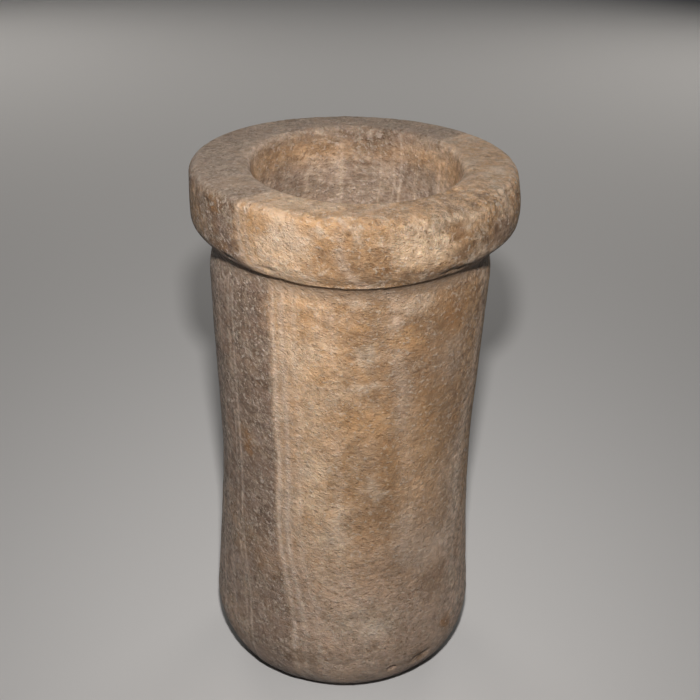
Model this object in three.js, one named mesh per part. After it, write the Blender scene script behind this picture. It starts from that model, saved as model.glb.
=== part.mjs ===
// Banded calcite cylinder jar, carved from one block: waisted body, rounded foot,
// thick collar rim and a drilled hollow. Millimetres, +Z up, the front towards -Y.
// The origin is the centre of the flat underside.

import * as THREE from 'three';

// Overall
const HEIGHT = 180;

// Facets: columns round the axis, and steps along each stretch of the half section
const COLUMNS = 84;
const STEPS = { foot: 8, body: 13, rimLower: 5, rimUpper: 4, lip: 3, bore: 6, floor: 5 };

// Outside, from the foot upwards
const FOOT_FLAT_RADIUS = 29;
const FOOT_RADIUS = 44.9;
const FOOT_HEIGHT = 22;
const LOWER_BODY = { radius: 43.3, height: 50 };
const WAIST = { radius: 42.4, height: 80 };
const SHOULDER = { radius: 44.0, height: 115 };
const NECK = { radius: 46.2, height: 155 };

// Collar rim
const RIM_RADIUS = 52.3;
const RIM_UNDERSIDE = 157.3;
const RIM_LOWER_ROUND = 5.5;
const RIM_UPPER_ROUND = 3.0;

// Hollow
const MOUTH_RADIUS = 35.3;
const LIP_ROUND = 2.6;
const LIP_DEPTH = 10.4;
const BORE_TOP_RADIUS = 34.6;
const BORE_LOW_RADIUS = 31.8;
const BORE_FLOOR = 26;
const FLOOR_ROUND = 14;

// Irregular carving and wear. Directions are angles from +X towards +Y. The hollow's own
// shift fades out across the top face, over a width of TOP_BLEND.
const RIM_SHIFT = 0.6;
const MOUTH_SHIFT = 1.3;
const MOUTH_OVAL = 1.8;
const TOP_BLEND = 9;
const CLEARANCE = 1;
const BULGE = { angle: 0, halfWidth: 1.0, height: 168, halfHeight: 9, amount: 1.0 };
const WORN_EDGE = { angle: -0.75, halfWidth: 0.62, reach: 7.5, amount: 3.0 };
const WORN_LOWER_RIGHT = { angle: -0.5, halfWidth: 0.7, reach: 6.5, amount: 1.6 };
const WORN_LOWER_LEFT = { angle: -2.65, halfWidth: 0.5, reach: 6.5, amount: 1.5 };

// Points of an elliptical quarter turn from one angle to another, its ends included
function arc(centreR, centreZ, radiusR, radiusZ, from, to, steps) {
  const points = [];
  for (let i = 0; i <= steps; i += 1) {
    const angle = from + ((to - from) * i) / steps;
    points.push(new THREE.Vector2(
      centreR + radiusR * Math.cos(angle),
      centreZ + radiusZ * Math.sin(angle),
    ));
  }
  return points;
}

// Outside of the body: one smooth curve from the top of the foot to the neck
function bodyCurve() {
  const curve = new THREE.SplineCurve([
    new THREE.Vector2(FOOT_RADIUS, FOOT_HEIGHT),
    new THREE.Vector2(LOWER_BODY.radius, LOWER_BODY.height),
    new THREE.Vector2(WAIST.radius, WAIST.height),
    new THREE.Vector2(SHOULDER.radius, SHOULDER.height),
    new THREE.Vector2(NECK.radius, NECK.height),
  ]);
  return curve.getPoints(STEPS.body);
}

// Half section of the jar, from the middle of the underside, up the outside,
// over the rim and down the hollow to the middle of its floor
function sectionPoints() {
  const quarter = Math.PI / 2;
  const foot = arc(
    FOOT_FLAT_RADIUS, FOOT_HEIGHT,
    FOOT_RADIUS - FOOT_FLAT_RADIUS, FOOT_HEIGHT, -quarter, 0, STEPS.foot,
  );
  const body = bodyCurve().slice(1);
  const rimLower = arc(
    RIM_RADIUS - RIM_LOWER_ROUND, RIM_UNDERSIDE + RIM_LOWER_ROUND,
    RIM_LOWER_ROUND, RIM_LOWER_ROUND, -quarter, 0, STEPS.rimLower,
  );
  const rimSideLow = RIM_UNDERSIDE + RIM_LOWER_ROUND;
  const rimSideHigh = HEIGHT - RIM_UPPER_ROUND;
  const rimSide = [new THREE.Vector2(RIM_RADIUS, (rimSideLow + rimSideHigh) / 2)];
  const rimUpper = arc(
    RIM_RADIUS - RIM_UPPER_ROUND, rimSideHigh,
    RIM_UPPER_ROUND, RIM_UPPER_ROUND, 0, quarter, STEPS.rimUpper,
  );
  const topFace = [new THREE.Vector2((RIM_RADIUS + MOUTH_RADIUS) / 2, HEIGHT)];
  const lip = arc(
    MOUTH_RADIUS + LIP_ROUND, HEIGHT - LIP_ROUND,
    LIP_ROUND, LIP_ROUND, quarter, 2 * quarter, STEPS.lip,
  );
  const boreTop = HEIGHT - LIP_DEPTH;
  const boreEnd = BORE_FLOOR + FLOOR_ROUND;
  const bore = [];
  for (let i = 0; i <= STEPS.bore; i += 1) {
    const t = i / STEPS.bore;
    bore.push(new THREE.Vector2(
      THREE.MathUtils.lerp(BORE_TOP_RADIUS, BORE_LOW_RADIUS, t),
      THREE.MathUtils.lerp(boreTop, boreEnd, t),
    ));
  }
  const floor = arc(
    BORE_LOW_RADIUS - FLOOR_ROUND, boreEnd,
    FLOOR_ROUND, -FLOOR_ROUND, 0, quarter, STEPS.floor,
  ).slice(1);
  return [
    new THREE.Vector2(0, 0),
    ...foot, ...body, ...rimLower, ...rimSide, ...rimUpper, ...topFace, ...lip, ...bore, ...floor,
    new THREE.Vector2(0, BORE_FLOOR),
  ];
}

// Bell curve, 1 at the middle and near 0 beyond twice the half width
function bell(distance, halfWidth) {
  return Math.exp(-((distance / halfWidth) ** 2));
}

// Shortest way round from one direction to another
function turnBetween(angle, middle) {
  return Math.atan2(Math.sin(angle - middle), Math.cos(angle - middle));
}

// How far a worn edge has gone in and, as much, up or down at a place near it
function wearAt(edge, angle, distance) {
  return edge.amount * Math.SQRT1_2
    * bell(turnBetween(angle, edge.angle), edge.halfWidth)
    * bell(distance, edge.reach);
}

// How far a point belongs to the hollow: 1 in it and on its lip, 0 on the outside,
// and falling from one to the other across the top face
function hollowWeight(radius, height) {
  if (height < BORE_FLOOR - CLEARANCE) {
    return 0;
  }
  const lipRadius = MOUTH_RADIUS + LIP_ROUND;
  const onTop = THREE.MathUtils.smoothstep(height, HEIGHT - LIP_DEPTH, HEIGHT - LIP_ROUND / 2);
  const end = lipRadius + CLEARANCE + TOP_BLEND * onTop;
  return 1 - THREE.MathUtils.smoothstep(radius, lipRadius, end);
}

// Moves one point of the turned shape to where hand carving and wear left it
function carve(point) {
  const angle = Math.atan2(point.y, point.x);
  let radius = Math.hypot(point.x, point.y);
  let height = point.z;

  const nearRim = THREE.MathUtils.smoothstep(height, NECK.height, RIM_UNDERSIDE + RIM_LOWER_ROUND);
  const hollow = hollowWeight(radius, height);
  const shift = THREE.MathUtils.lerp(RIM_SHIFT, MOUTH_SHIFT, hollow) * nearRim;
  const upper = THREE.MathUtils.smoothstep(height, WAIST.height, RIM_UNDERSIDE);
  const oval = MOUTH_OVAL * Math.cos(2 * angle) * upper;
  const bulge = BULGE.amount
    * bell(turnBetween(angle, BULGE.angle), BULGE.halfWidth)
    * bell(height - BULGE.height, BULGE.halfHeight) * nearRim;
  radius += THREE.MathUtils.lerp(bulge, -oval, hollow);

  const worn = wearAt(WORN_EDGE, angle, Math.hypot(radius - RIM_RADIUS, height - HEIGHT));
  const fromLowerEdge = Math.hypot(radius - RIM_RADIUS, height - RIM_UNDERSIDE);
  const wornRight = wearAt(WORN_LOWER_RIGHT, angle, fromLowerEdge);
  const wornLeft = wearAt(WORN_LOWER_LEFT, angle, fromLowerEdge);
  const offNeck = THREE.MathUtils.smoothstep(radius, NECK.radius, RIM_RADIUS - RIM_LOWER_ROUND / 2);
  const wornBelow = (wornRight + wornLeft) * offNeck;
  radius -= worn + wornBelow;
  height -= worn - wornBelow;

  point.set(radius * Math.cos(angle) + shift, radius * Math.sin(angle), height);
}

// The lathe turns about Y, so the result is stood up on Z before it is carved
function makeJarGeometry() {
  const geometry = new THREE.LatheGeometry(sectionPoints(), COLUMNS);
  geometry.rotateX(Math.PI / 2);
  const positions = geometry.getAttribute('position');
  const point = new THREE.Vector3();
  for (let i = 0; i < positions.count; i += 1) {
    point.fromBufferAttribute(positions, i);
    carve(point);
    positions.setXYZ(i, point.x, point.y, point.z);
  }
  geometry.computeVertexNormals();
  return geometry;
}

const alabaster = new THREE.MeshStandardMaterial({
  name: 'alabaster',
  color: 0xb2926f,
  roughness: 0.6,
  metalness: 0,
});

const jar = new THREE.Mesh(makeJarGeometry(), alabaster);
jar.name = 'jar';

const vessel = new THREE.Group();
vessel.add(jar);

export default vessel;
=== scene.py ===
"""A worn cylinder jar, carved from one block of banded calcite, standing on a pale floor."""
import math

import bpy
from mathutils import Matrix, Vector


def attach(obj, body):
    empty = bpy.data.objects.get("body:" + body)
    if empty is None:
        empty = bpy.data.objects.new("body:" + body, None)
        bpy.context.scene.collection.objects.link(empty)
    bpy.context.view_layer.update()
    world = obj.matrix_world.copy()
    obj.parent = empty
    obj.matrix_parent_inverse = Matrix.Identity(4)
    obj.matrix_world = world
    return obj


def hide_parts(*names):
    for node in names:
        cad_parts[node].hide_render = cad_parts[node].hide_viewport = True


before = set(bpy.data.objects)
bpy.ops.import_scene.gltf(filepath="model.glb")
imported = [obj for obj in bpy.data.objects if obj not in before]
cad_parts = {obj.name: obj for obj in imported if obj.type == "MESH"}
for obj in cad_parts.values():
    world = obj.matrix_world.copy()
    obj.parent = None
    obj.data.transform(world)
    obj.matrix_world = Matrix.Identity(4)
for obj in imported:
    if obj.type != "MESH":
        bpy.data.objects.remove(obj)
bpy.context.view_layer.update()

MM = 0.001
DIAGONAL = math.sqrt(0.5)
PICTURE_WIDTH = 700

# Turned shape, in millimetres: outside, rim and hollow
HEIGHT = 180.0
FOOT_FLAT_RADIUS = 29.0
FOOT_RADIUS = 44.9
FOOT_HEIGHT = 22.0
WAIST_HEIGHT = 80.0
NECK_RADIUS, NECK_HEIGHT = 46.2, 155.0
BODY_STATIONS = (
    (FOOT_RADIUS, FOOT_HEIGHT), (43.3, 50.0), (42.4, WAIST_HEIGHT), (44.0, 115.0), (NECK_RADIUS, NECK_HEIGHT))
RIM_RADIUS = 52.3
RIM_UNDERSIDE = 157.3
RIM_LOWER_ROUND = 5.5
RIM_UPPER_ROUND = 3.0
MOUTH_RADIUS = 35.3
LIP_ROUND = 2.6
LIP_DEPTH = 10.4
BORE_TOP_RADIUS = 34.6
BORE_LOW_RADIUS = 31.8
BORE_FLOOR = 26.0
FLOOR_ROUND = 14.0

# The hollow has its own shift, which fades out across the top face over TOP_BLEND. CLEARANCE is the
# play at the edge of the hollow, and SPARE keeps the rim's worked surface below the turned one.
TOP_BLEND = 9.0
CLEARANCE = 1.0
SPARE = 0.1

# Spacing of the mesh's rows along the half section, in millimetres, and its columns round the axis,
# which stand closer together at the front
FINE_ROW = 0.85
EDGE_ROW = 0.68
BORE_ROW = 1.6
DEEP_ROW = 5.0
FLAT_ROW = 5.0
FEWEST_ARC_ROWS = 3
SEEN_BORE_DEPTH = 60.0
COLUMNS = 305
FRONT_CROWDING = 0.35
SEAM_GAP = 0.005


class Wire:
    """A node socket that carries a number, so that node maths reads as plain arithmetic."""

    def __init__(self, bench, socket):
        self.bench = bench
        self.socket = socket

    def __add__(self, other):
        return self.bench.maths("ADD", self, other)

    def __radd__(self, other):
        return self.bench.maths("ADD", other, self)

    def __sub__(self, other):
        return self.bench.maths("SUBTRACT", self, other)

    def __rsub__(self, other):
        return self.bench.maths("SUBTRACT", other, self)

    def __mul__(self, other):
        return self.bench.maths("MULTIPLY", self, other)

    def __rmul__(self, other):
        return self.bench.maths("MULTIPLY", other, self)

    def __truediv__(self, other):
        return self.bench.maths("DIVIDE", self, other)

    def __rtruediv__(self, other):
        return self.bench.maths("DIVIDE", other, self)

    def __pow__(self, other):
        return self.bench.maths("POWER", self, other)

    def __rpow__(self, other):
        return self.bench.maths("POWER", other, self)

    def __neg__(self):
        return self.bench.maths("MULTIPLY", self, -1.0)


class Bench:
    """Adds nodes to one node tree and wires them up."""

    def __init__(self, tree):
        self.tree = tree

    def node(self, kind, settings=None, sockets=None, output=0):
        """A new node. Its settings are set first, then its sockets get their values or links."""
        made = self.tree.nodes.new(kind)
        for name, value in (settings or {}).items():
            setattr(made, name, value)
        for key, value in (sockets or {}).items():
            socket = made.inputs[key]
            if isinstance(value, Wire):
                self.tree.links.new(value.socket, socket)
            elif socket.type == "RGBA" and len(value) == 3:
                socket.default_value = (*value, 1.0)
            else:
                socket.default_value = value
        return Wire(self, made.outputs[output])

    def twin(self, wire, output):
        """Another output of the node that a wire comes from."""
        return Wire(self, wire.socket.node.outputs[output])

    def maths(self, operation, first, second=None):
        sockets = {0: first} if second is None else {0: first, 1: second}
        return self.node("ShaderNodeMath", {"operation": operation}, sockets)

    def length(self, x, y):
        return (x * x + y * y) ** 0.5

    def smooth(self, value, low, high):
        """0 at low, 1 at high, eased between; low may be above high."""
        settings = {"interpolation_type": "SMOOTHSTEP", "clamp": True}
        return self.node("ShaderNodeMapRange", settings, {0: value, 1: low, 2: high, 3: 0.0, 4: 1.0})

    def bell(self, value, half_width):
        """1 at zero, falling off smoothly on both sides."""
        ratio = value / half_width
        return self.maths("EXPONENT", -(ratio * ratio))

    def split(self, vector):
        x = self.node("ShaderNodeSeparateXYZ", {}, {0: vector}, 0)
        return x, self.twin(x, 1), self.twin(x, 2)

    def join(self, x, y, z):
        return self.node("ShaderNodeCombineXYZ", {}, {0: x, 1: y, 2: z})

    def scaled(self, vector, factor):
        return self.node("ShaderNodeVectorMath", {"operation": "SCALE"}, {0: vector, "Scale": factor})

    def stretched(self, vector, factors):
        return self.node("ShaderNodeVectorMath", {"operation": "MULTIPLY"}, {0: vector, 1: factors})

    def shifted(self, vector, other):
        return self.node("ShaderNodeVectorMath", {"operation": "ADD"}, {0: vector, 1: other})

    def noise(self, place, size, detail=2.0, roughness=0.5, distortion=0.0, shift=None, stretch=None):
        """Cloudy noise from 0 to 1, its lumps about the given size across, in millimetres."""
        if shift is not None:
            place = self.shifted(place, shift)
        if stretch is not None:
            place = self.stretched(place, stretch)
        sockets = {
            "Vector": place, "Scale": 1.0 / size, "Detail": detail,
            "Roughness": roughness, "Distortion": distortion,
        }
        return self.node("ShaderNodeTexNoise", {"noise_dimensions": "3D"}, sockets, "Fac")

    def marks(self, place, start, full, **noise):
        """0 where the noise hasn't reached start, 1 where it is past full; full may be the lower one."""
        return self.smooth(self.noise(place, **noise), start, full)

    def pushes(self, place, size, detail):
        """Three noises at once, as a vector with values from 0 to 1."""
        sockets = {"Vector": place, "Scale": 1.0 / size, "Detail": detail}
        return self.node("ShaderNodeTexNoise", {}, sockets, "Color")

    def ragged(self, place, size, detail, reach):
        """A place pushed about by noise, so that what lies there has a ragged edge."""
        centred = self.shifted(self.pushes(place, size, detail), (-0.5, -0.5, -0.5))
        return self.shifted(place, self.scaled(centred, reach))

    def cells(self, place, size, shift=None):
        """Distance to the nearest of many scattered points, the given size apart, in parts of it."""
        if shift is not None:
            place = self.shifted(place, shift)
        settings = {"voronoi_dimensions": "3D", "feature": "F1"}
        return self.node("ShaderNodeTexVoronoi", settings, {"Vector": place, "Scale": 1.0 / size}, "Distance")

    def mix(self, mode, under, over, factor):
        settings = {"data_type": "RGBA", "blend_type": mode, "clamp_factor": True}
        return self.node("ShaderNodeMix", settings, {0: factor, 6: under, 7: over}, 2)

    def coat(self, under, over, mask, share=1.0):
        """Lays one colour over another where the mask is, up to a share of it."""
        return self.mix("MIX", under, over, mask * share)

    def tinted(self, colour, tint):
        return self.mix("MULTIPLY", colour, tint, 1.0)


# Half section

def spaced(points, step):
    """The same line with points every step or so."""
    line = [points[0]]
    for start, end in zip(points, points[1:]):
        length = math.dist(start, end)
        count = max(1, round(length / step))
        for i in range(1, count + 1):
            t = i / count
            line.append((start[0] + (end[0] - start[0]) * t, start[1] + (end[1] - start[1]) * t))
    return line


def arc(centre, radii, start, end, step):
    """Points of an elliptical arc, angles in quarter turns."""
    length = abs(end - start) * math.pi / 2 * max(abs(radii[0]), abs(radii[1]))
    count = max(FEWEST_ARC_ROWS, math.ceil(length / step))
    points = []
    for i in range(count + 1):
        angle = (start + (end - start) * i / count) * math.pi / 2
        points.append((centre[0] + radii[0] * math.cos(angle), centre[1] + radii[1] * math.sin(angle)))
    return points


def body_line(step):
    """A smooth curve through the body's stations, without its first point."""
    stations = [BODY_STATIONS[0], *BODY_STATIONS, BODY_STATIONS[-1]]
    points = []
    for before, start, end, after in zip(stations, stations[1:], stations[2:], stations[3:]):
        count = round(math.dist(start, end) / step)
        for i in range(1, count + 1):
            t = i / count
            point = []
            for a, b, c, d in zip(before, start, end, after):
                pull_in, pull_out = (c - a) / 2, (d - b) / 2
                cubic = (2 * b - 2 * c + pull_in + pull_out) * t ** 3
                square = (-3 * b + 3 * c - 2 * pull_in - pull_out) * t ** 2
                point.append(cubic + square + pull_in * t + b)
            points.append(tuple(point))
    return points


def half_section():
    """From the middle of the underside, up the outside, over the rim, down to the hollow's floor."""
    foot_radii = (FOOT_RADIUS - FOOT_FLAT_RADIUS, FOOT_HEIGHT)
    lower = (RIM_LOWER_ROUND, RIM_LOWER_ROUND)
    upper = (RIM_UPPER_ROUND, RIM_UPPER_ROUND)
    rim_low_centre = (RIM_RADIUS - RIM_LOWER_ROUND, RIM_UNDERSIDE + RIM_LOWER_ROUND)
    rim_top_centre = (RIM_RADIUS - RIM_UPPER_ROUND, HEIGHT - RIM_UPPER_ROUND)
    lip_centre = (MOUTH_RADIUS + LIP_ROUND, HEIGHT - LIP_ROUND)
    floor_centre = (BORE_LOW_RADIUS - FLOOR_ROUND, BORE_FLOOR + FLOOR_ROUND)
    bore_top = HEIGHT - LIP_DEPTH
    bore_end = BORE_FLOOR + FLOOR_ROUND
    seen_end = HEIGHT - SEEN_BORE_DEPTH

    def bore_point(height):
        t = (bore_top - height) / (bore_top - bore_end)
        return BORE_TOP_RADIUS + (BORE_LOW_RADIUS - BORE_TOP_RADIUS) * t, height

    rim_low = arc(rim_low_centre, lower, -1, 0, EDGE_ROW)
    rim_top = arc(rim_top_centre, upper, 0, 1, EDGE_ROW)
    lip = arc(lip_centre, (LIP_ROUND, LIP_ROUND), 1, 2, EDGE_ROW)
    points = spaced([(0.0, 0.0), (FOOT_FLAT_RADIUS, 0.0)], FLAT_ROW)
    points += arc((FOOT_FLAT_RADIUS, FOOT_HEIGHT), foot_radii, -1, 0, FINE_ROW)[1:]
    points += body_line(FINE_ROW)
    points += rim_low
    points += spaced([rim_low[-1], rim_top[0]], FINE_ROW)[1:]
    points += rim_top[1:]
    points += spaced([rim_top[-1], lip[0]], FINE_ROW)[1:]
    points += lip[1:]
    points += spaced([lip[-1], bore_point(bore_top), bore_point(seen_end)], BORE_ROW)[1:]
    points += spaced([bore_point(seen_end), bore_point(bore_end)], DEEP_ROW)[1:]
    points += arc(floor_centre, (FLOOR_ROUND, -FLOOR_ROUND), 0, 1, DEEP_ROW)[1:]
    points += spaced([(BORE_LOW_RADIUS - FLOOR_ROUND, BORE_FLOOR), (0.0, BORE_FLOOR)], FLAT_ROW)[1:]
    return points


# Hand carving and wear: the jar's geometry tree

CARVE_SIZES = {
    "Rim shift": 0.6,
    "Mouth shift": 1.3,
    "Mouth oval": 1.8,
    "Bulge": 1.0,
    "Edge wear": 3.0,
    "Lower right wear": 1.6,
    "Lower left wear": 1.5,
    "Side recess": 1.3,
    "Unevenness": 1.0,
    "Rim lumps": 2.2,
    "Groove depth": 0.3,
    "Flake depth": 0.4,
    "Neck swell": 0.4,
    "Front swell": 2.2,
    "Scallop depth": 0.2,
    "Pit depth": 0.3,
}

# Directions from +X towards +Y and half turns, in radians, and heights and reaches, in millimetres
FRONT_ANGLE, FRONT_TURN = -1.5, 0.5
BULGE_ANGLE, BULGE_TURN = 0.0, 1.0
BULGE_HEIGHT, BULGE_REACH = 168.0, 9.0
WORN_ANGLE, WORN_TURN, WORN_REACH = -0.75, 0.62, 7.5
LOW_RIGHT_ANGLE, LOW_RIGHT_TURN = -0.5, 0.7
LOW_LEFT_ANGLE, LOW_LEFT_TURN = -2.65, 0.5
LOW_WORN_REACH = 6.5
SWELL_REACH = 3.0
SWELL_RADII = (RIM_RADIUS - 1.0, NECK_RADIUS + 1.5)
RECESS_HEIGHT, RECESS_REACH = 153.0, 5.0
RECESS_END = (RIM_UNDERSIDE + 0.8, RIM_UNDERSIDE)

# Where the worked surface changes, from none to full, in millimetres: two heights, two radii, and an
# upright line through the worn corner by its x, y and reach
ABOVE_FLAT = (0.5, 6.0)
ONTO_RIM = (RIM_UNDERSIDE - 1.5, RIM_UNDERSIDE + 2.0)
OUT_OF_MOUTH = (MOUTH_RADIUS + 6.0, MOUTH_RADIUS + 9.0)
INTO_MOUTH = (MOUTH_RADIUS + 3.0, MOUTH_RADIUS - 1.0)
WORN_CORNER = (34.0, -36.0, 40.0)

# Marks of hand work and breakage, their sizes in millimetres
WAVES = dict(size=30.0, detail=2.0)
LUMPS = dict(size=8.0, detail=4.0, roughness=0.62)
CRUMBS = dict(size=2.4, detail=2.0, roughness=0.6)
RINGS = dict(size=3.0, detail=2.0, stretch=(0.03, 0.03, 1.0))
FLAKES = dict(size=1.7, detail=3.0, roughness=0.6, stretch=(0.3, 0.3, 1.0), start=0.47, full=0.36)
FLAKED_PLACES = dict(size=12.0, detail=2.0, stretch=(1.0, 1.0, 0.2), start=0.46, full=0.58)
FLAKE_HEIGHT, FLAKE_REACH = RIM_UNDERSIDE + 2.2, 2.6
SCALLOPS = dict(size=5.5, shift=(3.0, 5.0, 1.0))
SCALLOP_STEEPNESS = 2.5
HOLE_SPACING = 7.0
HOLE_EDGE = (0.2, 0.06)
DENT_EDGE = (1.0, 0.3)
RAGGED_DENTS = dict(size=2.5, detail=3.0, reach=3.0)

# Chips and pits: direction in degrees, distance from the axis, height, half width, half height, depth
DENTS = (
    (-46, 50.0, 178.5, 2.2, 2.0, 1.3),
    (-33, 48.5, 179.5, 2.4, 2.0, 1.2),
    (-36, 39.8, 180.0, 3.4, 2.0, 1.0),
    (-43, 39.2, 180.0, 2.4, 2.0, 0.9),
    (-59, 52.0, 173.5, 1.3, 3.0, 1.0),
    (-53, 52.0, 170.0, 4.0, 2.2, 0.7),
    (-68, 52.0, 161.0, 6.0, 1.6, 0.5),
    (-52, 50.5, 160.0, 7.0, 1.8, 0.6),
    (-118, 52.0, 160.5, 6.0, 1.5, 0.7),
    (-137, 51.5, 160.0, 5.0, 1.6, 0.6),
    (-101, 49.5, 180.0, 4.0, 1.5, 0.7),
    (-86, 51.0, 178.0, 3.0, 2.0, 0.6),
    (-20, 51.5, 176.0, 4.0, 3.0, 1.0),
    (-160, 51.5, 177.0, 4.0, 3.0, 0.8),
    (-66, 43.4, 12.0, 2.0, 1.6, 1.4),
    (-50, 43.4, 13.0, 6.0, 3.0, 0.9),
    (-44, 44.0, 113.0, 1.6, 1.2, 0.5),
    (40, 51.5, 176.0, 7.0, 4.0, 1.2),
    (112, 52.0, 161.0, 8.0, 2.0, 1.1),
    (165, 43.0, 10.0, 7.0, 4.0, 0.9),
)


def turn_between(bench, angle, middle):
    """Shortest way round from one direction to another."""
    turn = angle - middle
    return bench.maths("ARCTAN2", bench.maths("SINE", turn), bench.maths("COSINE", turn))


def lathe(bench, section, rows):
    """Spins the half section about Z: a grid whose points take their places from the section."""
    corners = COLUMNS + 1
    sockets = {"Size X": 1.0, "Size Y": 1.0, "Vertices X": corners, "Vertices Y": rows}
    grid = bench.node("GeometryNodeMeshGrid", {}, sockets, "Mesh")
    index = bench.node("GeometryNodeInputIndex")
    column = bench.maths("FLOOR", (index + 0.5) / rows)
    row = index - column * rows
    even = column * (2 * math.pi) / COLUMNS
    angle = even - FRONT_CROWDING * bench.maths("COSINE", even)
    settings = {"data_type": "FLOAT_VECTOR", "domain": "POINT"}
    place = bench.node("GeometryNodeInputPosition")
    sockets = {"Geometry": section, "Value": place, "Index": row}
    on_section = bench.node("GeometryNodeSampleIndex", settings, sockets)
    radius, _, height = bench.split(on_section)
    return grid, radius, angle, height


def widened(bench, radius, angle, height, near_rim, size):
    """How far the outside stands out of the turned shape: bulge, swelling under the rim, recess."""
    at_front = bench.bell(turn_between(bench, angle, FRONT_ANGLE), FRONT_TURN)
    bulge = size["Bulge"] * bench.bell(turn_between(bench, angle, BULGE_ANGLE), BULGE_TURN)
    bulge = bulge * bench.bell(height - BULGE_HEIGHT, BULGE_REACH) * near_rim
    swell = bench.bell(height - RIM_UNDERSIDE, SWELL_REACH) * bench.smooth(radius, *SWELL_RADII)
    swell = swell * (size["Neck swell"] + size["Front swell"] * at_front)
    recess = size["Side recess"] * (1.0 - at_front) * bench.bell(height - RECESS_HEIGHT, RECESS_REACH)
    return bulge + swell - recess * bench.smooth(height, *RECESS_END)


def edge_wear(bench, radius, angle, height, size):
    """How far the rim's upper and lower edges have gone in, and as much down or up."""
    from_edge = bench.length(radius - RIM_RADIUS, height - HEIGHT)
    worn = size["Edge wear"] * bench.bell(turn_between(bench, angle, WORN_ANGLE), WORN_TURN)
    worn = worn * bench.bell(from_edge, WORN_REACH) * DIAGONAL
    from_low_edge = bench.length(radius - RIM_RADIUS, height - RIM_UNDERSIDE)
    right_side = bench.bell(turn_between(bench, angle, LOW_RIGHT_ANGLE), LOW_RIGHT_TURN)
    left_side = bench.bell(turn_between(bench, angle, LOW_LEFT_ANGLE), LOW_LEFT_TURN)
    low_worn = size["Lower right wear"] * right_side + size["Lower left wear"] * left_side
    low_worn = low_worn * bench.bell(from_low_edge, LOW_WORN_REACH) * DIAGONAL
    low_worn = low_worn * bench.smooth(radius, NECK_RADIUS, RIM_RADIUS - RIM_LOWER_ROUND / 2)
    return worn, low_worn


def carve(bench, radius, angle, height, size):
    """Moves each point of the turned shape to where hand carving and wear left it."""
    near_rim = bench.smooth(height, NECK_HEIGHT, RIM_UNDERSIDE + RIM_LOWER_ROUND)
    lip_radius = MOUTH_RADIUS + LIP_ROUND
    on_top = bench.smooth(height, HEIGHT - LIP_DEPTH, HEIGHT - LIP_ROUND / 2)
    above_floor = bench.maths("GREATER_THAN", height, BORE_FLOOR - CLEARANCE)
    hollow = bench.smooth(radius, lip_radius + CLEARANCE + TOP_BLEND * on_top, lip_radius) * above_floor
    oval = size["Mouth oval"] * bench.maths("COSINE", angle * 2.0)
    oval = oval * bench.smooth(height, WAIST_HEIGHT, RIM_UNDERSIDE)
    outside = widened(bench, radius, angle, height, near_rim, size)
    radius = radius + outside * (1.0 - hollow) - oval * hollow
    worn, low_worn = edge_wear(bench, radius, angle, height, size)
    radius = radius - worn - low_worn
    height = height - worn + low_worn
    shift = (size["Rim shift"] + (size["Mouth shift"] - size["Rim shift"]) * hollow) * near_rim
    x = radius * bench.maths("COSINE", angle) + shift
    y = radius * bench.maths("SINE", angle)
    return bench.join(x, y, height)


def moved(bench, mesh, sockets):
    return bench.node("GeometryNodeSetPosition", {}, {"Geometry": mesh, **sockets})


def near_line(bench, x, y, line):
    """1 on an upright line, given by its x, y and reach, falling off round it."""
    line_x, line_y, reach = line
    return bench.bell(bench.length(x - line_x, y - line_y), reach)


def distance_from(bench, place, direction, reach, height, half_width, half_height):
    """How far a place is from the middle of a mark on the jar, 1 being the mark's edge."""
    angle = math.radians(direction)
    back_to_middle = (-reach * math.cos(angle), -reach * math.sin(angle), -float(height))
    offset = bench.shifted(place, back_to_middle)
    offset = bench.stretched(offset, (1 / half_width, 1 / half_width, 1 / half_height))
    return bench.node("ShaderNodeVectorMath", {"operation": "LENGTH"}, {0: offset}, "Value")


def worked_surface(bench, place, size):
    """Waves, lumps, crumbs, flakes, scallops and small holes, in millimetres, kept within the rim."""
    x, y, height = bench.split(place)
    radius = bench.length(x, y)
    on_rim = bench.smooth(height, *ONTO_RIM)
    on_side = bench.smooth(radius, *OUT_OF_MOUTH)
    in_mouth = bench.smooth(radius, *INTO_MOUTH)
    above_flat = bench.smooth(height, *ABOVE_FLAT)
    worn_corner = near_line(bench, x, y, WORN_CORNER)
    body_share, rim_share, worn_share = 0.25, 0.45, 0.6
    body_crumbs, rim_crumbs = 0.14, 0.5
    waves = (bench.noise(place, **WAVES) - 0.5) * size["Unevenness"]
    lump_share = body_share + on_rim * (rim_share + worn_share * worn_corner)
    lumps = (bench.noise(place, **LUMPS) - 0.5) * lump_share * size["Rim lumps"]
    crumbs = (bench.noise(place, **CRUMBS) - 0.5) * (body_crumbs + rim_crumbs * on_rim * on_side)
    rings = (bench.noise(place, **RINGS) - 0.5) * size["Groove depth"] * in_mouth
    flaked = bench.bell(height - FLAKE_HEIGHT, FLAKE_REACH) * on_side * bench.marks(place, **FLAKED_PLACES)
    flakes = bench.marks(place, **FLAKES) * flaked * size["Flake depth"]
    across = bench.cells(place, **SCALLOPS)
    scallops = across * across * SCALLOP_STEEPNESS * size["Scallop depth"] * worn_corner * on_rim * on_side
    holes = bench.smooth(bench.cells(place, HOLE_SPACING), *HOLE_EDGE) * size["Pit depth"] * on_side
    surface = waves + lumps + crumbs - flakes + scallops - holes
    capped = bench.maths("MINIMUM", surface, -SPARE)
    return (surface + (capped - surface) * on_rim + rings) * above_flat


def relief(bench, size):
    """Height of the finished surface above the turned one: the worked surface with its dents."""
    place = bench.node("GeometryNodeInputPosition")
    surface = worked_surface(bench, place, size)
    ragged = bench.ragged(place, **RAGGED_DENTS)
    for *where, depth in DENTS:
        surface = surface - bench.smooth(distance_from(bench, ragged, *where), *DENT_EDGE) * depth
    return surface


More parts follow.
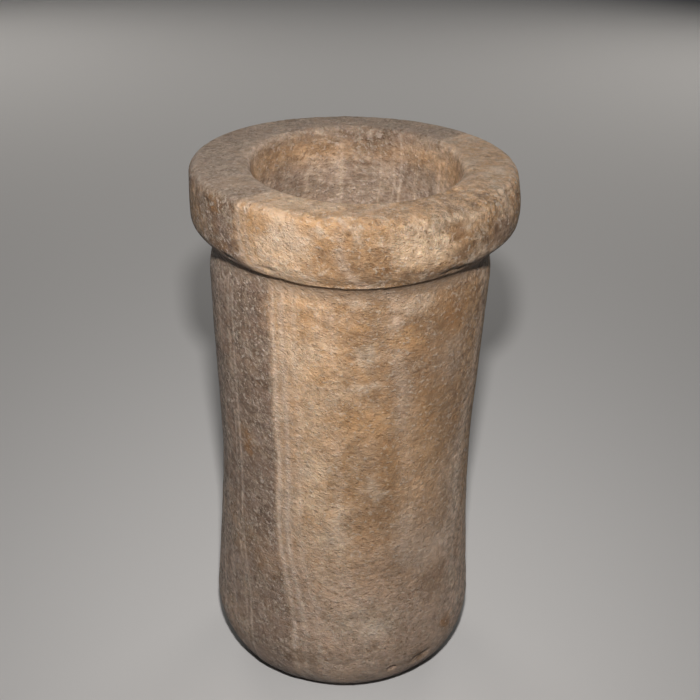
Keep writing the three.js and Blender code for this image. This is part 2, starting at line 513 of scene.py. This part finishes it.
def jar_tree(rows):
    """Section in, jar out: turned, carved, seam closed, worked along its normals, brought to metres."""
    tree = bpy.data.node_groups.new("turned_and_worn_jar", "GeometryNodeTree")
    tree.interface.new_socket("Section", in_out="INPUT", socket_type="NodeSocketGeometry")
    for name, value in CARVE_SIZES.items():
        socket = tree.interface.new_socket(name, in_out="INPUT", socket_type="NodeSocketFloat")
        socket.default_value = value
    tree.interface.new_socket("Stone", in_out="INPUT", socket_type="NodeSocketMaterial")
    tree.interface.new_socket("Jar", in_out="OUTPUT", socket_type="NodeSocketGeometry")
    bench = Bench(tree)
    section = bench.node("NodeGroupInput", {}, {}, "Section")
    size = {name: bench.twin(section, name) for name in CARVE_SIZES}
    grid, radius, angle, height = lathe(bench, section, rows)
    mesh = moved(bench, grid, {"Position": carve(bench, radius, angle, height, size)})
    mesh = bench.node("GeometryNodeMergeByDistance", {}, {"Geometry": mesh, "Distance": SEAM_GAP})
    normal = bench.node("GeometryNodeInputNormal")
    mesh = moved(bench, mesh, {"Offset": bench.scaled(normal, relief(bench, size))})
    place = bench.node("GeometryNodeInputPosition")
    mesh = moved(bench, mesh, {"Position": bench.scaled(place, MM)})
    mesh = bench.node("GeometryNodeSetShadeSmooth", {}, {"Geometry": mesh})
    mesh = bench.node("GeometryNodeRealizeInstances", {}, {"Geometry": mesh})
    stone = bench.twin(section, "Stone")
    mesh = bench.node("GeometryNodeSetMaterial", {}, {"Geometry": mesh, "Material": stone})
    output = tree.nodes.new("NodeGroupOutput")
    tree.links.new(mesh.socket, output.inputs["Jar"])
    return tree


def make_jar(stone):
    """Draws the half section, lets the tree turn it into the jar and keeps the result as a plain mesh."""
    points = half_section()
    line = bpy.data.meshes.new("half_section")
    edges = [(i, i + 1) for i in range(len(points) - 1)]
    line.from_pydata([(radius, 0.0, height) for radius, height in points], edges, [])
    maker = bpy.data.objects.new("jar_maker", line)
    bpy.context.scene.collection.objects.link(maker)
    tree = jar_tree(len(points))
    modifier = maker.modifiers.new("carving", "NODES")
    modifier.node_group = tree
    for item in tree.interface.items_tree:
        if item.in_out == "INPUT" and item.name in CARVE_SIZES:
            modifier[item.identifier] = CARVE_SIZES[item.name]
        elif item.in_out == "INPUT" and item.name == "Stone":
            modifier[item.identifier] = stone
    bpy.context.view_layer.update()
    graph = bpy.context.evaluated_depsgraph_get()
    mesh = bpy.data.meshes.new_from_object(maker.evaluated_get(graph))
    mesh.name = "jar_stone"
    bpy.data.objects.remove(maker)
    jar = bpy.data.objects.new("jar_stone", mesh)
    bpy.context.scene.collection.objects.link(jar)
    return jar


# The stone's colours, as linear red, green and blue
TAN = (0.70, 0.455, 0.275)
CREAM = (0.83, 0.60, 0.405)
ORANGE = (0.61, 0.35, 0.165)
AMBER = (0.36, 0.17, 0.055)
BROWN = (0.27, 0.148, 0.07)
MAUVE = (0.25, 0.16, 0.112)
GREY_BEIGE = (0.44, 0.31, 0.22)
ASH = (0.39, 0.27, 0.205)
FOOT_ASH = (0.64, 0.48, 0.385)
TOP_GREY = (0.50, 0.37, 0.28)
WALL = (0.45, 0.335, 0.25)
VEIN = (0.86, 0.68, 0.55)
FLECK = (0.90, 0.74, 0.63)
PALE = (0.68, 0.53, 0.40)
CHALK = (0.78, 0.66, 0.54)
# Near-black painted shade, laid into two pits at the rim's top edge and into the notch in the foot
PAINTED_PIT_SHADE = (0.075, 0.048, 0.032)
WARMER = (1.02, 1.0, 0.96)
COOLER = (0.98, 1.0, 1.04)

# Where the layers lie, in millimetres across them: the stone is brown below BOUNDARY and grey above it.
# The layers step sideways between the heights of NECK_BEND and of FOOT_BEND, and wander a little.
BOUNDARY = -5.0
BOUNDARY_BLUR = 1.3
BESIDE_BOUNDARY, BESIDE_REACH = BOUNDARY - 4.0, 5.0
# FAR_RIGHT: across the layers, where the right side turns browner, partly the stone's colour and partly
# painted shade where the light falls off
FAR_RIGHT = (-16.0, -38.0)
RIM_STEP, NECK_STEP, FOOT_STEP = 1.6, 6.4, 8.2
NECK_BEND = (172.0, 150.0)
FOOT_BEND = (72.0, 20.0)
WANDER_REACH = 3.2

# Where each finish goes from none to full, in millimetres: one pair of radii, then pairs of heights
INTO_BORE = (38.0, 36.0)
ABOVE_BORE_FLOOR = (BORE_FLOOR - 2.0, BORE_FLOOR)
ONTO_TOP = (HEIGHT - 2.5, HEIGHT - 0.6)
ONTO_RIM_STONE = (RIM_UNDERSIDE - 2.0, RIM_UNDERSIDE + 1.0)
UP_TO_WORN_RIM = (155.0, 160.0)
TOWARDS_TOP = (168.0, 176.0)
STRIP_FROM, STRIP_TO = (149.0, 154.0), (157.5, 156.5)
DOWN_THE_BODY = (150.0, 100.0)
CLEAR_VEINS = (120.0, 70.0)
HAZY_FOOT = (82.0, 24.0)
ROUGH_FOOT = (60.0, 20.0)

# The amber under the lip and the split lower edge of the rim, by height and reach, and the rough
# corner, an upright line by its x, y and reach. The flanks are the left and right sides seen from the
# front, where the lamp's light grazes and painted shade and highlights in the grain are strongest; they
# begin and are full at two shares of x in the radius, both squared.
LIP_SHADE_HEIGHT, LIP_SHADE_REACH = 173.0, 4.5
SPLIT_EDGE_HEIGHT, SPLIT_EDGE_REACH = RIM_UNDERSIDE + 3.0, 3.5
ROUGH_CORNER = (36.0, -38.0, 30.0)
FLANK_SHARE = (0.45, 0.9)

# Marks in the stone, their sizes in millimetres, shifted so that none follows another
WANDER = dict(size=16.0, detail=3.0, roughness=0.6, stretch=(1.0, 1.0, 0.35))
BANDS = dict(size=2.2, detail=3.0, roughness=0.65)
BAND_LENGTH_SHARE, BAND_HEIGHT_SHARE = 0.3, 0.012
SLOW_CLOUD = dict(size=26.0, detail=3.0, roughness=0.55, shift=(31.0, 7.0, 12.0))
CLOUD = dict(size=8.0, detail=4.0, roughness=0.65, shift=(3.0, 77.0, 45.0))
WISPS = dict(size=5.0, detail=4.0, roughness=0.65, distortion=0.4, stretch=(0.6, 0.6, 1.4))
BLOTCHES = dict(size=6.0, detail=4.0, roughness=0.65, distortion=0.3, shift=(0.0, 70.0, 20.0))
WHOLE_VEIN = dict(size=14.0, detail=2.0, start=0.22, full=0.42)
RUBBED = dict(size=6.0, detail=4.0, roughness=0.7, stretch=(0.3, 0.3, 1.0), start=0.48, full=0.66)
BORE_BANDS = dict(size=3.2, detail=3.0, roughness=0.6)
PATCHES = dict(size=9.0, detail=3.0, shift=(9.0, 9.0, 9.0), start=0.40, full=0.56)
WARM_SPOTS = dict(size=2.6, detail=5.0, roughness=0.7, shift=(0.0, 0.0, 60.0), start=0.32, full=0.68)
GRIT = dict(size=2.8, detail=5.0, roughness=0.95)
LINES = dict(size=1.5, detail=3.0, roughness=0.8, stretch=(0.45, 0.45, 1.0))
GLINTS = dict(size=1.7, detail=5.0, roughness=0.9)
FLECKS = dict(size=1.5, detail=2.0, roughness=0.6, shift=(8.0, 8.0, 8.0), start=0.57, full=0.64)
CRYSTALS = dict(size=1.2, detail=2.0, roughness=0.5, shift=(50.0, 0.0, 0.0), start=0.60, full=0.67)
PITS = dict(size=1.3, detail=2.0, roughness=0.5, shift=(0.0, 50.0, 0.0), start=0.38, full=0.31)
LAMINAE = dict(size=1.1, detail=3.0, roughness=0.6, stretch=(0.3, 0.3, 1.0))
COARSE_GRAIN = dict(size=2.1)
FINE_GRAIN = dict(size=1.0, shift=(9.0, 4.0, 2.0))
GRAIN_PUSHES, GRAIN_PUSH_REACH = dict(size=1.5, detail=2.0), 0.9
RAGGED_STAINS = dict(size=4.0, detail=4.0, reach=8.0)
STAIN_EDGE = (1.25, 0.35)

# Tone of the grain, with painted shade in its hollows: its middle, its brightest, and how much faster green
# and blue fall than red
GRAIN_MIDDLE = 0.42
BRIGHTEST = 1.5
GREEN_FALL, BLUE_FALL = 1.12, 1.25

# Light in the stone, and how rough it is to the light
GLOW_SHARE = 0.12
GLOW_RADIUS = (1.0, 0.55, 0.3)
GLOW_DEPTH = 2.5
PLAIN_ROUGHNESS, GRIT_ROUGHNESS, CRYSTAL_POLISH = 0.4, 0.25, 0.1

# How far each mark stands out of the stone, in millimetres
LINE_RELIEF = 0.2
PIT_RELIEF = 0.25
CRYSTAL_RELIEF = 0.1
LAMINA_RELIEF = 0.5
GLINT_RELIEF = 0.12
FLECK_RELIEF = 0.15

# Thin light veins: place across the layers, half width, strength
VEINS = (
    (-6.3, 0.9, 0.7), (-9.4, 1.0, 0.55), (-13.4, 0.9, 0.3), (11.2, 0.55, 0.6), (13.6, 0.5, 0.35),
    (28.2, 1.0, 0.4), (20.5, 0.6, 0.25), (37.0, 0.8, 0.5), (-24.0, 0.9, 0.25), (-36.0, 1.4, 0.45),
)

# Stains and worn patches, with painted shade in pits and painted highlights: colour, strength, direction in
# degrees, height, half width, half height
STAINS = (
    (AMBER, 0.80, -137, 93, 3.4, 6.0),
    (ORANGE, 0.70, -86, 143, 3.0, 2.2),
    (ORANGE, 0.55, -99, 126, 8.0, 5.5),
    (ORANGE, 0.65, -68, 138, 7.0, 4.5),
    (AMBER, 0.55, -44, 142, 7.0, 5.0),
    (BROWN, 0.50, -22, 140, 5.0, 6.0),
    (ORANGE, 0.55, -84, 109, 12.0, 8.0),
    (ORANGE, 0.45, -58, 92, 13.0, 26.0),
    (ORANGE, 0.45, -92, 60, 5.0, 6.0),
    (PALE, 0.50, -63, 149, 7.0, 4.0),
    (PALE, 0.55, -87, 151, 4.5, 3.0),
    (PALE, 0.60, -83, 133, 4.0, 4.5),
    (PALE, 0.50, -82, 122, 6.0, 2.8),
    (GREY_BEIGE, 0.60, -43, 126, 9.0, 10.0),
    (PALE, 0.55, -107, 87, 4.0, 9.0),
    (PALE, 0.65, -93, 66, 7.0, 10.0),
    (PALE, 0.50, -77, 84, 4.5, 7.0),
    (GREY_BEIGE, 0.55, -57, 60, 9.0, 12.0),
    (BROWN, 0.40, -45, 44, 8.0, 10.0),
    (PALE, 0.55, -80, 34, 15.0, 8.0),
    (CHALK, 0.35, -74, 31, 6.0, 4.0),
    (PALE, 0.45, -30, 40, 3.0, 9.0),
    (AMBER, 0.75, -37, 23, 4.0, 4.5),
    (BROWN, 0.45, -108, 19, 6.0, 4.0),
    # Painted shade in the notch in the foot, over the dent there
    (PAINTED_PIT_SHADE, 0.90, -66, 12, 2.2, 1.6),
    (BROWN, 0.70, -53, 14, 6.0, 3.5),
    (AMBER, 0.50, -174, 168, 8.0, 9.0),
    (ORANGE, 0.40, -158, 168, 12.0, 9.0),
    (BROWN, 0.25, -150, 168, 9.0, 10.0),
    (AMBER, 0.70, -142, 176, 6.0, 3.5),
    (AMBER, 0.45, -138, 163, 6.0, 3.0),
    (ORANGE, 0.55, -123, 174, 7.0, 5.0),
    (PALE, 0.60, -110, 172, 8.0, 6.0),
    # Painted highlights on the rounded top edge of the rim at the front
    (CHALK, 0.50, -100, 175, 2.2, 1.2),
    (CHALK, 0.45, -93, 178, 2.4, 1.2),
    (ORANGE, 0.60, -97, 172, 5.0, 2.0),
    (AMBER, 0.45, -76, 167, 6.0, 4.0),
    (ORANGE, 0.30, -84, 171, 8.0, 6.0),
    (CREAM, 0.80, -66, 171, 15.0, 8.0),
    (PALE, 0.50, -50, 176, 11.0, 4.0),
    (PALE, 0.40, -22, 176, 10.0, 5.0),
    # Painted shade in two pits at the rim's top edge, each with a painted highlight just below it
    (PAINTED_PIT_SHADE, 0.60, -46, 177.6, 1.2, 0.8),
    (CHALK, 0.60, -44, 176.0, 1.6, 1.0),
    (PAINTED_PIT_SHADE, 0.60, -33, 178.6, 1.8, 0.8),
    (CHALK, 0.80, -32, 176.4, 1.8, 1.2),
    (PALE, 0.30, -66, 176, 6.0, 3.0),
    (MAUVE, 0.60, -30, 168, 9.0, 6.5),
    (GREY_BEIGE, 0.50, -38, 163, 8.0, 4.0),
    (CHALK, 0.50, -33, 170, 0.8, 4.5),
    (AMBER, 0.65, -53, 173, 3.6, 3.6),
    (AMBER, 0.60, -14, 171, 8.0, 8.0),
)


class Spot:
    """A point of the stone, in millimetres, and from 0 to 1 how far it belongs to each part of the jar."""

    def __init__(self, bench, place):
        self.place = place
        self.x, self.y, self.height = bench.split(place)
        radius = bench.length(self.x, self.y)
        self.along = (self.x - self.y) * DIAGONAL
        self.inside = bench.smooth(radius, *INTO_BORE) * bench.smooth(self.height, *ABOVE_BORE_FLOOR)
        self.top = bench.smooth(self.height, *ONTO_TOP)
        self.foot = bench.smooth(self.height, *ROUGH_FOOT)
        self.collar_strip = bench.smooth(self.height, *STRIP_FROM) * bench.smooth(self.height, *STRIP_TO)
        self.worn_side = near_line(bench, self.x, self.y, ROUGH_CORNER)
        self.worn_side = self.worn_side * bench.smooth(self.height, *UP_TO_WORN_RIM)
        # The flanks: the sides seen from the front, where the lamp's light grazes; painted shade and
        # highlights in the grain are strongest there
        sideways = self.x * self.x / (radius * radius + 1.0)
        self.grazing_lit_flank = bench.smooth(sideways, *FLANK_SHARE) * (1.0 - self.top)
        self.layer = layering(bench, self)
        self.brown_side = bench.smooth(self.layer, BOUNDARY + BOUNDARY_BLUR, BOUNDARY - BOUNDARY_BLUR)
        self.patchy = bench.marks(place, **PATCHES)


class Marks:
    """The stone's finest marks at a spot, and how strongly it shows them."""

    def __init__(self, bench, spot):
        self.contrast = mark_contrast(bench, spot)
        flatter, slant = 0.8, 0.25
        slanted = bench.join(spot.x * flatter, spot.y * flatter, spot.height + slant * spot.along)
        lean, shorter, thinner = 0.7, 0.75, 0.6
        across_stroke = (spot.along - lean * spot.height) * shorter
        stroke = bench.join(across_stroke, spot.height + lean * spot.along, (spot.x + spot.y) * thinner)
        push = bench.scaled(bench.pushes(spot.place, **GRAIN_PUSHES), GRAIN_PUSH_REACH)
        uneven = bench.shifted(slanted, push)
        coarse_share, fine_share = 0.6, 0.4
        self.grain = 1.0 - coarse_share * bench.cells(uneven, **COARSE_GRAIN)
        self.grain = self.grain - fine_share * bench.cells(uneven, **FINE_GRAIN)
        self.grit = bench.noise(slanted, **GRIT)
        self.lines = bench.noise(spot.place, **LINES)
        more_in_patches, glint_edge = 0.08, (0.54, 0.62)
        glints = bench.noise(stroke, **GLINTS) + (spot.patchy - 0.5) * more_in_patches
        self.glints = bench.smooth(glints, *glint_edge)
        self.flecks = bench.marks(stroke, **FLECKS)
        self.crystals = bench.marks(slanted, **CRYSTALS)
        self.pits = bench.marks(slanted, **PITS)


def layering(bench, spot):
    """How far across the stone's layers a spot is; they run upright and shift near neck and foot."""
    across = (spot.y - spot.x) * DIAGONAL
    neck_step = NECK_STEP * bench.smooth(spot.height, *NECK_BEND)
    foot_step = FOOT_STEP * bench.smooth(spot.height, *FOOT_BEND)
    wander = (bench.noise(spot.place, **WANDER) - 0.5) * WANDER_REACH
    return across + (neck_step + foot_step - RIM_STEP) * (1.0 - spot.inside) + wander


def mark_contrast(bench, spot):
    """Most on the grey stone and the worn corner, least in the hollow and on the strip under the rim."""
    on_grey, on_brown, on_grey_foot, on_brown_foot, worn_more = 1.3, 0.4, 0.95, 0.7, 0.7
    between_patches, patches_more = 0.5, 0.9
    grey_side = 1.0 - spot.brown_side
    rough_stone = on_grey - (on_grey - on_brown) * spot.brown_side
    rough_stone = rough_stone - (on_grey - on_grey_foot) * spot.foot * grey_side
    rough_stone = rough_stone + (on_brown_foot - on_brown) * spot.foot * spot.brown_side
    rough_stone = rough_stone + worn_more * spot.worn_side
    shielded = bench.smooth(spot.inside + spot.top, 0.0, 1.0)
    calm = (1.0 - 0.3 * shielded) * (1.0 - 0.7 * spot.inside) * (1.0 - 0.6 * spot.collar_strip)
    return rough_stone * (between_patches + patches_more * spot.patchy) * calm


def brown_stone(bench, spot, slow, cloud, wisps):
    """Tan with cream and orange clouds, browner towards the far right below the top: partly the stone's
    colour, partly painted shade where the lamp's light falls off round the right side.
    """
    far_right_brown_and_shade = bench.smooth(spot.layer, *FAR_RIGHT)
    colour = bench.coat(TAN, CREAM, bench.smooth(slow, 0.42, 0.62), share=0.7)
    more_clouds = cloud + far_right_brown_and_shade * 0.12
    colour = bench.coat(colour, ORANGE, bench.smooth(more_clouds, 0.46, 0.68), share=0.75)
    colour = bench.coat(colour, CREAM, bench.smooth(wisps, 0.55, 0.75), share=0.5)
    # Browner to the far right: partly the stone's colour, partly painted shade where the lamp's light falls
    # off round that side
    browner_low = 0.75 - 0.55 * bench.smooth(spot.height, *TOWARDS_TOP)
    return bench.coat(colour, BROWN, far_right_brown_and_shade, share=browner_low)


def grey_stone(bench, slow, cloud, wisps):
    """Mauve grey with ash and beige clouds and a little orange."""
    colour = bench.coat(MAUVE, ASH, bench.smooth(cloud, 0.38, 0.62))
    colour = bench.coat(colour, GREY_BEIGE, bench.smooth(wisps, 0.5, 0.72), share=0.6)
    return bench.coat(colour, ORANGE, bench.smooth(slow, 0.5, 0.36), share=0.35)


def veined(bench, spot, colour):
    """Lays the light veins over a colour, broken here and there, clearer low down and in the hollow."""
    clear = 0.65 + 0.35 * bench.smooth(spot.height, *CLEAR_VEINS)
    for middle, half_width, strength in VEINS:
        whole = bench.marks(spot.place, shift=(middle, 0.0, 0.0), **WHOLE_VEIN)
        vein = bench.bell(spot.layer - middle, half_width) * strength
        colour = bench.coat(colour, VEIN, vein, share=whole * clear + spot.inside * 0.5)
    return colour


def outer_radius(height):
    return RIM_RADIUS if height > RIM_UNDERSIDE else FOOT_RADIUS


def stained(bench, spot, colour):
    """Lays the stains over a colour, their edges broken up by noise."""
    ragged = bench.ragged(spot.place, **RAGGED_STAINS)
    for stain, strength, direction, height, half_width, half_height in STAINS:
        reach = outer_radius(height)
        away = distance_from(bench, ragged, direction, reach, height, half_width, half_height)
        colour = bench.coat(colour, stain, bench.smooth(away, *STAIN_EDGE), share=strength)
    return colour


def stone_colour(bench, spot):
    """Grey and brown stone side by side, with bands, blotches, a hazy foot, veins and stains."""
    slow = bench.noise(spot.place, **SLOW_CLOUD)
    cloud = bench.noise(spot.place, **CLOUD)
    wisps = bench.noise(spot.place, **WISPS)
    grey = grey_stone(bench, slow, cloud, wisps)
    brown = brown_stone(bench, spot, slow, cloud, wisps)
    colour = bench.coat(grey, brown, spot.brown_side)
    in_bands = bench.join(spot.layer, spot.layer * BAND_LENGTH_SHARE, spot.height * BAND_HEIGHT_SHARE)
    banded = bench.smooth(bench.noise(in_bands, **BANDS), 0.5, 0.68)
    colour = bench.coat(colour, GREY_BEIGE, banded, share=0.5 - 0.35 * spot.brown_side)
    blotches = bench.noise(spot.place, **BLOTCHES)
    blotch_share = 0.15 + 0.4 * bench.smooth(spot.height, *ONTO_RIM_STONE)
    colour = bench.coat(colour, PALE, bench.smooth(blotches, 0.53, 0.64), share=blotch_share)
    colour = bench.coat(colour, BROWN, bench.smooth(blotches, 0.45, 0.34), share=blotch_share)
    haze = bench.smooth(spot.height, *HAZY_FOOT)
    colour = bench.coat(colour, FOOT_ASH, haze, share=0.22 + 0.45 * spot.brown_side)
    beside_boundary = bench.bell(spot.layer - BESIDE_BOUNDARY, BESIDE_REACH)
    beside_boundary = beside_boundary * bench.smooth(spot.height, *DOWN_THE_BODY)
    colour = bench.coat(colour, ASH, beside_boundary, share=0.35)
    return stained(bench, spot, veined(bench, spot, colour))


def hollow_colour(bench, spot, colour):
    """The bored wall: evenly rubbed and a little paler, with the bands upright, amber under the lip."""
    under_lip = bench.bell(spot.height - LIP_SHADE_HEIGHT, LIP_SHADE_REACH)
    bands = bench.noise(bench.join(spot.layer, 0.0, 0.0), **BORE_BANDS)
    colour = bench.coat(colour, WALL, spot.inside, share=0.45)
    colour = bench.coat(colour, PALE, spot.inside * bench.marks(spot.place, **RUBBED), share=0.35)
    colour = bench.coat(colour, PALE, spot.inside * bench.smooth(bands, 0.54, 0.68), share=0.55)
    colour = bench.coat(colour, MAUVE, spot.inside * bench.smooth(bands, 0.46, 0.34), share=0.5)
    return bench.coat(colour, ORANGE, spot.inside * under_lip, share=0.55)


def grained(bench, spot, marks, colour):
    """Warms and cools a colour in small spots, then lightens and darkens it with grit, tool lines and grain.
    The grain darkens the colour in the same hollows that the bump sinks, most on the grazing-lit flanks:
    partly the stone's mottling, partly painted shade.
    """
    colour = bench.tinted(colour, bench.coat(COOLER, WARMER, bench.marks(spot.place, **WARM_SPOTS)))
    # Painted shade in the grain's hollows, strongest on the flanks where the lamp's light grazes
    grain_cavity_shade_share = (0.3 + 1.6 * spot.grazing_lit_flank + 0.6 * spot.worn_side) * (1.0 - 0.7 * spot.inside)
    grit_share = 0.2 + 2.6 * marks.contrast
    line_share = 0.5 + 1.5 * spot.inside
    lighter = (marks.grit - 0.5) * grit_share + (marks.lines - 0.5) * line_share
    lighter = lighter + (marks.grain - GRAIN_MIDDLE) * grain_cavity_shade_share
    tone_and_painted_shade = bench.maths("MINIMUM", bench.maths("EXPONENT", lighter), BRIGHTEST)
    return bench.tinted(colour, bench.join(tone_and_painted_shade, tone_and_painted_shade ** GREEN_FALL, tone_and_painted_shade ** BLUE_FALL))


def speckled(bench, spot, marks, colour):
    """Lays glints, flecks, crystals and pits over a colour: partly the stone's pale crystals and pits, partly
    painted highlights and painted shade standing in for its sparkle and relief, more on the grazing-lit
    flanks.
    """
    most_contrast = 1.1
    speckle = bench.maths("MINIMUM", marks.contrast, most_contrast)
    grey_side = (1.0 - spot.brown_side) * (1.0 - 0.75 * spot.inside)
    outside = 1.0 - 0.6 * spot.inside
    fleck_and_highlight_share = 0.12 + 0.2 * spot.grazing_lit_flank + 0.6 * grey_side * (1.0 - 0.7 * spot.top)
    fleck_and_highlight_share = fleck_and_highlight_share * (0.3 + 0.9 * spot.patchy)
    crystal_and_highlight_share = (0.25 + 0.3 * speckle + 0.2 * spot.grazing_lit_flank) * outside
    colour = bench.coat(colour, PALE, marks.glints, share=0.15 + 0.55 * grey_side)
    colour = bench.coat(colour, FLECK, marks.flecks, share=fleck_and_highlight_share)
    colour = bench.coat(colour, CHALK, marks.crystals, share=crystal_and_highlight_share)
    # Pits go brown where the bump sinks them: partly the stone's colour, partly painted shade
    return bench.coat(colour, BROWN, marks.pits, share=(0.2 + 0.4 * speckle) * outside)


def stone_relief(bench, spot, marks):
    """How high the fine marks stand, in millimetres."""
    coarse = 0.8 - 0.5 * spot.inside + 0.7 * spot.worn_side + 1.6 * marks.contrast
    grain_relief = (0.35 + 0.5 * spot.grazing_lit_flank + 0.3 * spot.worn_side) * (1.0 - 0.8 * spot.inside)
    split_edge = bench.bell(spot.height - SPLIT_EDGE_HEIGHT, SPLIT_EDGE_REACH)
    height = (marks.grit - 0.5) * coarse + marks.grain * grain_relief
    height = height + (marks.lines - 0.5) * LINE_RELIEF
    height = height + bench.noise(spot.place, **LAMINAE) * split_edge * LAMINA_RELIEF
    height = height - marks.pits * PIT_RELIEF + marks.crystals * CRYSTAL_RELIEF
    return height + marks.glints * GLINT_RELIEF + marks.flecks * FLECK_RELIEF


def alabaster():
    """Weathered banded calcite: layered colour, crystal speckle, pits and tool lines, with painted shade and
    painted highlights in pits, grain and speckle.
    """
    material = bpy.data.materials.new("alabaster")
    material.use_nodes = True
    tree = material.node_tree
    bench = Bench(tree)
    place = bench.scaled(bench.node("ShaderNodeTexCoord", {}, {}, "Object"), 1 / MM)
    spot = Spot(bench, place)
    marks = Marks(bench, spot)
    colour = hollow_colour(bench, spot, stone_colour(bench, spot))
    colour = bench.coat(colour, TOP_GREY, spot.top, share=0.15 + 0.45 * (1.0 - spot.brown_side))
    colour = bench.coat(colour, GREY_BEIGE, spot.collar_strip * (1.0 - spot.inside), share=0.55)
    colour = speckled(bench, spot, marks, grained(bench, spot, marks, colour))
    roughness = PLAIN_ROUGHNESS + GRIT_ROUGHNESS * marks.grit - CRYSTAL_POLISH * marks.crystals
    sockets = {"Height": stone_relief(bench, spot, marks), "Distance": MM, "Strength": 1.0}
    bump = bench.node("ShaderNodeBump", {}, sockets, "Normal")
    shader = tree.nodes["Principled BSDF"]
    shader.inputs["Subsurface Weight"].default_value = GLOW_SHARE
    shader.inputs["Subsurface Radius"].default_value = GLOW_RADIUS
    shader.inputs["Subsurface Scale"].default_value = GLOW_DEPTH * MM
    tree.links.new(colour.socket, shader.inputs["Base Color"])
    tree.links.new(roughness.socket, shader.inputs["Roughness"])
    tree.links.new(bump.socket, shader.inputs["Normal"])
    return material


# Camera, floor and lights, in metres

def make_camera():
    """Stands in front of the jar, a little above, and looks down at its middle."""
    focal_pixels = 1400.0
    distance = 481.7 * MM
    elevation = math.radians(28.36)
    pitch = math.radians(25.83)
    yaw = math.radians(0.09)
    roll = math.radians(1.43)
    middle = Vector((0.0, 0.0, HEIGHT * MM / 2))
    place = middle + distance * Vector((0.0, -math.cos(elevation), math.sin(elevation)))
    forward = Vector((math.sin(yaw) * math.cos(pitch), math.cos(yaw) * math.cos(pitch), -math.sin(pitch)))
    right = Vector((math.cos(yaw), -math.sin(yaw), 0.0))
    up = right.cross(forward)
    rolled_right = right * math.cos(roll) + up * math.sin(roll)
    rolled_up = up * math.cos(roll) - right * math.sin(roll)
    turn = Matrix((rolled_right, rolled_up, -forward)).transposed()
    data = bpy.data.cameras.new("camera")
    data.sensor_width = 36.0
    data.lens = focal_pixels / PICTURE_WIDTH * data.sensor_width
    camera = bpy.data.objects.new("camera", data)
    camera.matrix_world = Matrix.Translation(place) @ turn.to_4x4()
    bpy.context.scene.collection.objects.link(camera)
    bpy.context.scene.camera = camera


def make_floor():
    """A wide pale sheet under the jar, which sends no light back up onto the stone."""
    reach = 3.0
    pale_grey = (0.75, 0.75, 0.76, 1.0)
    mesh = bpy.data.meshes.new("floor")
    corners = [(-reach, -reach, 0.0), (reach, -reach, 0.0), (reach, reach, 0.0), (-reach, reach, 0.0)]
    mesh.from_pydata(corners, [], [(0, 1, 2, 3)])
    material = bpy.data.materials.new("pale_floor")
    material.use_nodes = True
    shader = material.node_tree.nodes["Principled BSDF"]
    shader.inputs["Base Color"].default_value = pale_grey
    shader.inputs["Roughness"].default_value = 0.8
    mesh.materials.append(material)
    floor = bpy.data.objects.new("floor", mesh)
    floor.visible_diffuse = False
    bpy.context.scene.collection.objects.link(floor)


def make_lamp(name, place, target, size, watts, colour):
    """A round area lamp that faces a target."""
    data = bpy.data.lights.new(name, "AREA")
    data.shape = "DISK"
    data.size = size
    data.energy = watts
    data.color = colour
    place = Vector(place)
    facing = (Vector(target) - place).to_track_quat("-Z", "Y").to_matrix().to_4x4()
    lamp = bpy.data.objects.new(name, data)
    lamp.matrix_world = Matrix.Translation(place) @ facing
    bpy.context.scene.collection.objects.link(lamp)
    return data


def make_lights():
    """One clear lamp just above the camera, two soft ones behind the jar and a faint even glow."""
    upper_body = (0.0, 0.0, 0.125)
    warm_white = (1.0, 0.965, 0.92)
    warmer_white = (1.0, 0.95, 0.88)
    sky_white = (0.92, 0.95, 1.0, 1.0)
    key = make_lamp("key", (0.001, -0.39, 0.385), upper_body, size=0.02, watts=0.41, colour=warm_white)
    key.spread = math.radians(75.0)
    for name, side in (("back_left", -1), ("back_right", 1)):
        make_lamp(name, (0.45 * side, 0.95, 0.45), upper_body, size=0.5, watts=1.5, colour=warmer_white)
    world = bpy.data.worlds.new("world")
    world.use_nodes = True
    background = world.node_tree.nodes["Background"]
    background.inputs["Color"].default_value = sky_white
    background.inputs["Strength"].default_value = 0.03
    bpy.context.scene.world = world


make_camera()
make_floor()
make_lights()
jar = make_jar(alabaster())
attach(jar, "root")
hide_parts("jar")
bpy.context.scene.view_settings.view_transform = "Standard"
